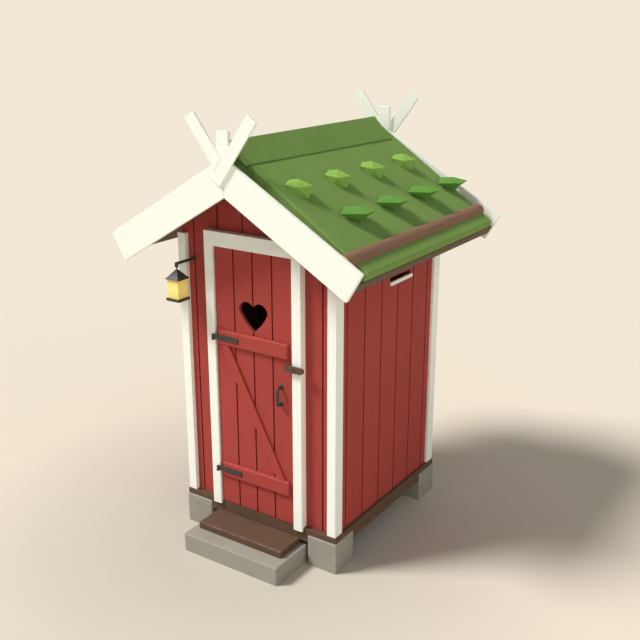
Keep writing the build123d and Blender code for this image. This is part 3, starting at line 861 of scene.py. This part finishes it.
@dataclass(frozen=True)
class RedBoards:
    """Upright boards under red paint, with a groove in both faces at each joint.

    Attributes:
        along: 0 for boards side by side along X, 1 along Y.
        pitch: Distance from joint to joint.
        first: Distance from the middle to the nearest joint.
        width: Width of a groove.
        depth: Depth of a groove.
        edge_mm: Radius of the eased edges.
    """

    along: int
    pitch: float
    first: float
    width: float
    depth: float
    edge_mm: float

    def build(self, name: str, nodes: Sequence[str], body: str, inner: int | None = None) -> None:
        """Makes the boards in the place of one or more touching nodes.

        Args:
            name: The piece's name.
            nodes: Nodes that it replaces.
            body: Body that it rides on.
            inner: Face that is bare, 0 the lower or 1 the upper, or None where both are painted.
        """
        box = box_round([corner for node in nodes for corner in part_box(node)])
        piece = cut_copy(name, nodes, self._cutter(box))
        paint(piece, *RED_PAINT.worn(Grain.UPRIGHT), RED_PAINT.material(Grain.UPRIGHT, Wear.SUNK))
        if inner is not None:
            piece.data.materials.append(BARE_PINE.material(Grain.UPRIGHT))
        self._mark(piece, box, inner)
        ease(piece, self.edge_mm)
        seat(piece, body, "red_boards", *nodes)

    def _joint(self, number: int, box: Box) -> float:
        """Finds the place of a joint from its number and the box of the boards."""
        return (box[0][self.along] + box[1][self.along]) / 2 + self.first + number * self.pitch

    def _cutter(self, box: Box) -> BMesh:
        """Makes the shape that cuts the joints.

        Args:
            box: Box of the boards.

        Returns:
            The cutter's shape.
        """
        shape = bmesh.new()
        low, high = box
        across = 1 - self.along
        count = int((high[self.along] - low[self.along]) / self.pitch) + 2
        for number in range(-count, count):
            place = self._joint(number, box)
            if not low[self.along] + self.width < place < high[self.along] - self.width:
                continue
            for face in (low[across], high[across]):
                start = [0.0, 0.0, low.z - OVERCUT]
                end = [0.0, 0.0, high.z + OVERCUT]
                start[self.along] = place - self.width / 2
                end[self.along] = place + self.width / 2
                start[across] = face - self.depth
                end[across] = face + self.depth
                add_block(shape, start, end)
        return shape

    def _mark(self, piece: Object, box: Box, inner: int | None) -> None:
        """Gives each board its tone, the joints the third material and a bare face the fourth.

        Args:
            piece: The piece with the joints cut.
            box: Box of the boards.
            inner: Face that is bare, 0 the lower or 1 the upper, or None.
        """
        across = 1 - self.along
        chance = random.Random(TONE_SEED)
        tones = [chance.uniform(-1.0, 1.0) for _ in range(TONE_COUNT)]
        mesh = piece.data
        attribute = mesh.attributes.new(BOARD_TONE, "FLOAT", "FACE")
        origin = self._joint(0, box)
        for face in mesh.polygons:
            number = math.floor((face.center[self.along] - origin) / self.pitch)
            attribute.data[face.index].value = tones[number % TONE_COUNT]
            gaps = [abs(face.center[across] - corner[across]) for corner in box]
            reach = [mesh.vertices[corner].co[across] for corner in face.vertices]
            if min(gaps) >= SAME_FACE and max(reach) - min(reach) < self.depth + SAME_FACE:
                face.material_index = JOINT_SLOT
            elif inner is not None and gaps[inner] < SAME_FACE:
                face.material_index = INSIDE_SLOT


@dataclass
class Foundation:
    """Corner stones, sills and the step in front of the door."""

    stone_edge_mm: float = 9.0
    sill_edge_mm: float = 4.0

    def build(self) -> None:
        """Eases and paints the stones, the sills and the step."""
        for node in ("foundation_stones", "step_stone"):
            dress(node, self.stone_edge_mm, 3, *STONE.worn())
        for node in ("sill_front", "sill_rear", "step_tread"):
            dress(node, self.sill_edge_mm, 2, *TARRED_OAK.worn(Grain.ACROSS))
        dress("sills_side", self.sill_edge_mm, 2, *TARRED_OAK.worn(Grain.ALONG))


@dataclass
class BoardedWalls:
    """Walls of upright boards, with a groove at each joint inside and out, painted outside only."""

    front_pitch: float = 0.203
    side_pitch: float = 0.213
    groove_width: float = 0.011
    groove_depth: float = 0.013
    edge_mm: float = 1.6

    def build(self) -> None:
        """Builds all four walls."""
        front = ("front_gable", "front_wall_left", "front_wall_right")
        walls = (
            ("front_boards", front, self.front_pitch, 0, 1),
            ("rear_boards", ("rear_wall",), self.front_pitch, 0, 0),
            ("left_boards", ("left_wall",), self.side_pitch, 1, 1),
            ("right_boards", ("right_wall",), self.side_pitch, 1, 0),
        )
        groove = (self.groove_width, self.groove_depth, self.edge_mm)
        for name, nodes, pitch, along, inner in walls:
            RedBoards(along, pitch, pitch / 2, *groove).build(name, nodes, HOUSE, inner)


@dataclass
class Trim:
    """White corner posts, casing and vent slats, and the bare floor."""

    edge_mm: float = 3.0
    floor_board: float = 0.12
    floor_gap: float = 0.003
    floor_groove: float = 0.006
    floor_edge_mm: float = 1.0

    def build(self) -> None:
        """Paints the trim and boards the floor."""
        for node in ("corner_posts", "door_casing_left", "door_casing_right"):
            dress(node, self.edge_mm, 2, *WHITE_PAINT.worn(Grain.UPRIGHT))
        dress("door_casing_head", self.edge_mm, 2, *WHITE_PAINT.worn(Grain.ACROSS))
        dress("vent_slats", self.edge_mm, 2, *WHITE_PAINT.worn(Grain.ALONG))
        dress("door_stop", self.edge_mm, 2, *RED_PAINT.worn(Grain.UPRIGHT))
        dress("threshold", self.edge_mm, 2, *BARE_PINE.worn(Grain.ACROSS))
        low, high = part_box("floor_boards")
        cutter = bmesh.new()
        half = self.floor_gap / 2
        for number in range(1, int((high.x - low.x) / self.floor_board) + 1):
            x = low.x + number * self.floor_board
            start = (x - half, low.y - OVERCUT, high.z - self.floor_groove)
            add_block(cutter, start, (x + half, high.y + OVERCUT, high.z + OVERCUT))
        floor = cut_copy("floor_planks", ("floor_boards",), cutter)
        paint(floor, *BARE_PINE.worn(Grain.ALONG))
        ease(floor, self.floor_edge_mm, 1)
        seat(floor, HOUSE, "bare_boards", "floor_boards")


@dataclass
class BoardDoor:
    """Ledged and braced door with its straps, nails and handle."""

    board: float = 0.152
    groove_width: float = 0.011
    groove_depth: float = 0.010
    edge_mm: float = 1.5
    batten_edge_mm: float = 4.0
    button_edge_mm: float = 4.0
    strap_thickness: float = 0.008
    strap_edge_mm: float = 3.0
    nail_radius: float = 0.0045
    nail_sides: int = 8
    nail_inset: float = 0.030
    nailed_boards: tuple[float, ...] = (-1.5, -0.5, 0.5, 1.5)  # in boards from the middle
    nail_lifts: tuple[float, ...] = (-0.22, 0.22)  # in batten heights from its middle
    strap_nails: tuple[float, ...] = (0.34, 0.6, 0.86)  # in strap lengths from its left end
    rose_radius: float = 0.018
    rose_thickness: float = 0.004
    rose_sides: int = 20

    def build(self) -> None:
        """Boards the leaf, dresses what is on it and adds the nails and the handle's plates."""
        groove = (self.groove_width, self.groove_depth, self.edge_mm)
        RedBoards(0, self.board, 0.0, *groove).build("door_boards", ("door_leaf",), DOOR)
        dress("door_battens", self.batten_edge_mm, 3, *RED_PAINT.worn(Grain.ACROSS))
        dress("door_brace", self.batten_edge_mm, 2, *RED_PAINT.worn(Grain.UPRIGHT))
        dress("strap_hinges", self.strap_edge_mm, 3, *IRON.worn())
        for node in ("hinge_pintles", "door_handle", "turn_button_pin"):
            dress(node, 0, 0, IRON.material())
        dress("turn_button", self.button_edge_mm, 3, *TARRED_OAK.worn(Grain.ACROSS))
        self._batten_nails()
        self._strap_nails()
        self._roses()

    def _nails(self, name: str, spots: Sequence[Vector], material: Material, slot: str) -> None:
        """Drives in wrought nails with domed heads, let in a little.

        Args:
            name: The nails' name.
            spots: Middle of each head, on the surface.
            material: Their material.
            slot: Material slot of the record.
        """
        radius = self.nail_radius
        dome = ((0.15 * radius, radius), (0.4 * radius, 0.7 * radius), (0.5 * radius, 0.0))
        nails = turned_piece(name, spots, OUTWARD, ((-LET_IN, radius), *dome), self.nail_sides)
        paint(nails, material)
        seat(nails, DOOR, slot)

    def _batten_nails(self) -> None:
        """Nails each board to each batten with two nails, painted over."""
        spots = []
        for low, high in islands("door_battens"):
            left, right = low.x + self.nail_inset, high.x - self.nail_inset
            for board in self.nailed_boards:
                x = min(max(board * self.board, left), right)
                for lift in self.nail_lifts:
                    z = (low.z + high.z) / 2 + lift * (high.z - low.z)
                    spots.append(Vector((x, low.y, z)))
        painted = RED_PAINT.material(Grain.ACROSS, Wear.RUBBED)
        self._nails("batten_nails", spots, painted, "red_boards")

    def _strap_nails(self) -> None:
        """Nails each strap hinge to its batten with three wrought nails."""
        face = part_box("door_battens")[0].y - self.strap_thickness
        spots = [
            Vector((low.x + share * (high.x - low.x), face, (low.z + high.z) / 2))
            for low, high in islands("strap_hinges")
            for share in self.strap_nails
        ]
        self._nails("strap_nails", spots, IRON.material(Wear.RUBBED), "black_iron")

    def _roses(self) -> None:
        """Sets a round plate behind each end of the handle."""
        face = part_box("door_leaf")[0].y
        low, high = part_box("door_handle")
        middle, bar = (low.x + high.x) / 2, (high.x - low.x) / 2
        rings = (
            (-LET_IN, self.rose_radius),
            (0.6 * self.rose_thickness, self.rose_radius),
            (self.rose_thickness, 0.85 * self.rose_radius),
            (1.4 * self.rose_thickness, bar),
        )
        spots = [Vector((middle, face, z)) for z in (low.z + bar, high.z - bar)]
        roses = turned_piece("handle_roses", spots, OUTWARD, rings, self.rose_sides)
        paint(roses, IRON.material())
        seat(roses, DOOR, "black_iron")


@dataclass
class HangingLantern:
    """Square lantern on its iron bracket."""

    edge_mm: float = 1.5
    collar_radius: float = 0.0055
    collar_share: float = 0.5
    collar_sides: int = 12
    collar_root: Pair = (-0.004, 0.004)  # lift and radius of its foot in the cap

    def build(self) -> None:
        """Paints the iron and the glass and puts a collar round the stem."""
        for node in ("lantern_cap", "lantern_base", "lantern_bracket"):
            dress(node, self.edge_mm, 2, *IRON.worn())
        dress("lantern_hanger", 0, 0, IRON.material())
        low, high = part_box("lantern_glass")
        middle = (low + high) / 2
        # The glass gives painted light from within, though it is no lamp.
        dress("lantern_glass", self.edge_mm, 2, AMBER.material(middle.z, (high.z - low.z) / 2))
        foot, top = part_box("lantern_cap")[1].z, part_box("lantern_hanger")[1].z
        length, radius = self.collar_share * (top - foot), self.collar_radius
        waist = 0.8 * radius
        body = ((0.0, radius), (0.3 * length, waist), (0.7 * length, waist), (length, radius))
        spot = Vector((middle.x, middle.y, foot))
        rings = (self.collar_root, *body)
        collar = turned_piece("lantern_collar", [spot], UPWARD, rings, self.collar_sides)
        paint(collar, IRON.material())
        seat(collar, LANTERN, "black_iron")


@dataclass
class TurfRoof:
    """Boarded deck, turf, ridge cap, logs, bargeboards and the crossed boards at the gables."""

    deck_board: float = 0.146
    deck_groove: float = 0.008
    deck_depth: float = 0.010
    deck_edge_mm: float = 2.0
    board_edge_mm: float = 5.0
    turf_edge_mm: float = 8.0
    log_edge_mm: float = 3.0

    def build(self) -> None:
        """Dresses the roof from the deck up."""
        for side, sign, grain in (("right", 1, Grain.FALLS_RIGHT), ("left", -1, Grain.FALLS_LEFT)):
            self._deck(side, sign)
            dress(f"turf_{side}", self.turf_edge_mm, 3, SOD.material())
            dress(f"bargeboards_{side}", self.board_edge_mm, 2, *WHITE_PAINT.worn(grain))
            dress(f"horns_{side}", self.board_edge_mm, 2, *WHITE_PAINT.worn(Grain.UPRIGHT))
        dress("turf_ridge_cap", self.turf_edge_mm, 3, CAP_SOD.material())
        dress("gable_finials", self.board_edge_mm, 2, *WHITE_PAINT.worn(Grain.UPRIGHT))
        low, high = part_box("eaves_logs")
        radius = (high.z - low.z) / 2
        centre = Vector((high.x - radius, 0.0, low.z + radius))
        dress("eaves_logs", self.log_edge_mm, 2, PEELED_LOG.material(centre))

    def _deck(self, side: str, sign: int) -> None:
        """Cuts the joints of the roof boards into the underside of one half of the deck.

        Args:
            side: Which half.
            sign: 1 for the right-hand half, -1 for the left-hand one.
        """
        node = f"roof_deck_{side}"
        turn = Matrix.Rotation(sign * PITCH, 4, "Y")
        low, high = box_round([turn.inverted() @ vert.co for vert in NODES[node].data.vertices])
        cutter = bmesh.new()
        half = self.deck_groove / 2
        for number in range(1, int((high.x - low.x) / self.deck_board) + 1):
            x = (high.x if sign > 0 else low.x) - sign * number * self.deck_board
            start = (x - half, low.y - OVERCUT, low.z - OVERCUT)
            add_block(cutter, start, (x + half, high.y + OVERCUT, low.z + self.deck_depth), turn)
        deck = cut_copy(f"roof_boards_{side}", (node,), cutter)
        paint(deck, *ROOF_BOARDS.worn(Grain.ALONG))
        ease(deck, self.deck_edge_mm, 1)
        seat(deck, HOUSE, "deck_boards", node)


@dataclass(frozen=True)
class TuftForm:
    """One kind of tuft: a low faceted clump of grass.

    Attributes:
        name: What the tuft is.
        finish: Its grass.
        corners: Angle in degrees, reach from the axis and lift of each corner of the widest ring.
        skirt: The same for each corner of the lower ring, each after the corner above it.
        crown: Angle, reach and lift of the top.
        foot: Angle, reach and lift of the root, which is in the turf.
        shift: Middle of the widest ring from the middle of the top of the tuft's space.
    """

    name: str
    finish: GrassFinish
    corners: tuple[Triple, ...]
    skirt: tuple[Triple, ...]
    crown: Triple
    foot: Triple
    shift: Triple


YOUNG_TUFT = TuftForm(
    "young_tuft",
    LIGHT_TUFT,
    corners=(
        (-45, 0.064, -0.008), (27, 0.104, -0.005), (90, 0.070, 0.012), (151, 0.102, 0.014),
        (237, 0.072, 0.004),
    ),
    skirt=(
        (15, 0.078, -0.078), (60, 0.080, -0.060), (120, 0.080, -0.055), (180, 0.085, -0.055),
        (290, 0.042, -0.057),
    ),
    crown=(60, 0.016, 0.034),
    foot=(20, 0.035, -0.095),
    shift=(-0.001, -0.029, -0.033),
)
OLD_TUFT = TuftForm(
    "old_tuft",
    DARK_TUFT,
    corners=(
        (-33, 0.088, 0.0), (36, 0.109, 0.005), (95, 0.108, 0.010), (172, 0.107, 0.020),
        (245, 0.134, 0.0),
    ),
    skirt=(
        (5, 0.050, -0.030), (75, 0.050, -0.045), (150, 0.050, -0.045), (215, 0.050, -0.050),
        (290, 0.022, -0.056),
    ),
    crown=(105, 0.043, 0.026),
    foot=(-29, 0.030, -0.062),
    shift=(0.0, 0.0, -0.022),
)


@dataclass
class Tufts:
    """Two rows of tufts on the right-hand slope."""

    row_divide: float = 0.5
    turn_step: float = 4.0

    def build(self) -> None:
        """Puts a faceted clump in the place of each tuft."""
        for number, (low, high) in enumerate(islands("turf_tufts"), 1):
            centre = (low + high) / 2
            form = YOUNG_TUFT if centre.x < self.row_divide else OLD_TUFT
            middle = Vector((centre.x, centre.y, high.z)) + Vector(form.shift)
            turn = self.turn_step * (number % 3 - 1)
            clump = self._clump(f"{form.name}_{number}", form, middle, turn)
            paint(clump, form.finish.material())
            seat(clump, HOUSE, "turf", "turf_tufts")

    def _clump(self, name: str, form: TuftForm, middle: Vector, turn: float) -> Object:
        """Makes one tuft.

        Args:
            name: The piece's name.
            form: Kind of tuft.
            middle: Middle of its widest ring.
            turn: Turn about its axis, in degrees.

        Returns:
            The tuft.
        """
        shape = bmesh.new()

        def spot(angle: float, reach: float, lift: float) -> BMVert:
            """Adds a corner at an angle, a distance from the axis and a lift."""
            return shape.verts.new(middle + polar(reach, math.radians(angle + turn), lift))

        ring = [spot(*corner) for corner in form.corners]
        skirt = [spot(*corner) for corner in form.skirt]
        top, foot = spot(*form.crown), spot(*form.foot)
        for here in range(len(ring)):
            after = (here + 1) % len(ring)
            shape.faces.new((top, ring[here], ring[after]))
            shape.faces.new((ring[here], skirt[here], ring[after]))
            shape.faces.new((skirt[here], skirt[after], ring[after]))
            shape.faces.new((foot, skirt[after], skirt[here]))
        return new_piece(name, shape, smooth=False)


@dataclass(frozen=True)
class Lamp:
    """A broad, even lamp far away.

    Attributes:
        name: The lamp's name.
        turn: Direction that its light travels in, seen from above, in degrees.
        height: Height that it shines down from, in degrees.
        width: Angle that it fills, in degrees.
        strength: Its strength.
        colour: Its colour.
    """

    name: str
    turn: float
    height: float
    width: float
    strength: float
    colour: str

    def hang(self) -> None:
        """Puts the lamp in the scene."""
        lamp = bpy.data.lights.new(self.name, "SUN")
        lamp.energy = self.strength
        lamp.angle = math.radians(self.width)
        lamp.color = linear(self.colour)[:3]
        turn, height = math.radians(self.turn), math.radians(self.height)
        travel = polar(math.cos(height), turn, -math.sin(height))
        new_object(self.name, lamp).rotation_euler = travel.to_track_quat("-Z", "Y").to_euler()


@dataclass
class Studio:
    """Pale floor that runs into the backdrop, soft light and the camera."""

    azimuth: float = 33.66
    elevation: float = 18.27
    distance: float = 6.234
    target: Triple = (0.132, -0.098, 1.520)
    lens_mm: float = 51.1
    sensor_mm: float = 36.0
    view_end: float = 200.0
    key: Lamp = Lamp("key_light", 41.0, 51.0, 17.0, 3.15, "#fffefa")
    fill: Lamp = Lamp("fill_light", 150.0, 22.0, 70.0, 0.85, "#fffefc")
    sky: str = "#fdfdff"
    sky_strength: float = 0.22
    backdrop: str = "#f2e8d5"
    floor: str = "#e9dfcd"
    # Painted shade: the floor is darker round a point near the house, fading out between two
    # distances.
    floor_painted_shade: str = "#cac3b5"
    floor_half: float = 60.0
    painted_shade_middle: Triple = (-0.15, -0.55, 0.0)  # middle of the darker part
    painted_shade_start: float = 0.7
    painted_shade_end: float = 2.4
    blend_start: float = 4.5
    blend_end: float = 11.0

    def build(self) -> None:
        """Sets up the floor, the light and the camera."""
        self._floor()
        self.key.hang()
        self.fill.hang()
        self._sky()
        self._camera()
        bpy.context.scene.view_settings.view_transform = "Standard"

    def _floor(self) -> None:
        """Lays a wide floor, with painted shade near the house, that ends in the backdrop's colour.
        """
        shape = bmesh.new()
        bmesh.ops.create_grid(shape, x_segments=1, y_segments=1, size=self.floor_half)
        plane = new_piece("studio_floor", shape)
        coat = Coat("studio_paper")
        far, near = (
            coat.add("ShaderNodeVectorMath", measure, {0: coat.place}, "Value")
            for measure in ({"operation": "LENGTH"}, {"operation": "DISTANCE", 1: self.painted_shade_middle})
        )
        # Painted shade: darker towards the middle of the shaded part near the house.
        colour = coat.mottle(
            self.floor_painted_shade, self.floor, near, share=1.0, start=self.painted_shade_start, end=self.painted_shade_end
        )
        paper = coat.add("ShaderNodeBsdfDiffuse", links={"Color": colour})
        backdrop = {"Color": linear(self.backdrop), "Strength": 1.0}
        back = coat.add("ShaderNodeEmission", backdrop)
        share = coat.spread(far, self.blend_start, self.blend_end, 0.0, 1.0)
        mixed = coat.add("ShaderNodeMixShader", links={0: share, 1: paper, 2: back})
        coat.add("ShaderNodeOutputMaterial", links={"Surface": mixed})
        paint(plane, coat.material)

    def _sky(self) -> None:
        """Makes an even sky, seen as the backdrop."""
        world = bpy.data.worlds.new("studio_sky")
        bpy.context.scene.world = world
        world.use_nodes = True
        world.node_tree.nodes.clear()
        add = partial(add_node, world.node_tree)
        rays = ("Is Camera Ray", "Is Glossy Ray")
        either = {place: add("ShaderNodeLightPath", output=ray) for place, ray in enumerate(rays)}
        sources = {0: add("ShaderNodeMath", {"operation": "MAXIMUM"}, either)}
        tones = ((self.sky, self.sky_strength), (self.backdrop, 1.0))
        for place, (colour, strength) in enumerate(tones, 1):
            light = {"Color": linear(colour), "Strength": strength}
            sources[place] = add("ShaderNodeBackground", light)
        mixed = add("ShaderNodeMixShader", links=sources)
        add("ShaderNodeOutputWorld", links={"Surface": mixed})

    def _camera(self) -> None:
        """Stands the camera in front of the door's right-hand side."""
        lens = bpy.data.cameras.new("camera")
        lens.lens = self.lens_mm
        lens.sensor_width = self.sensor_mm
        lens.clip_end = self.view_end
        camera = new_object("camera", lens)
        turn, height = math.radians(self.azimuth - 90.0), math.radians(self.elevation)
        back = polar(math.cos(height), turn, math.sin(height))
        camera.location = Vector(self.target) + back * self.distance
        camera.rotation_euler = back.to_track_quat("Z", "Y").to_euler()
        bpy.context.scene.camera = camera


def main() -> None:
    """Builds and dresses the outhouse, then sets up the studio."""
    logging.basicConfig(level=logging.INFO, format="%(name)s: %(message)s")
    parts = (Foundation, BoardedWalls, Trim, BoardDoor, HangingLantern, TurfRoof, Tufts, Studio)
    for part in parts:
        LOG.info("building %s", part.__name__)
        part().build()


if __name__ == "__main__":
    main()
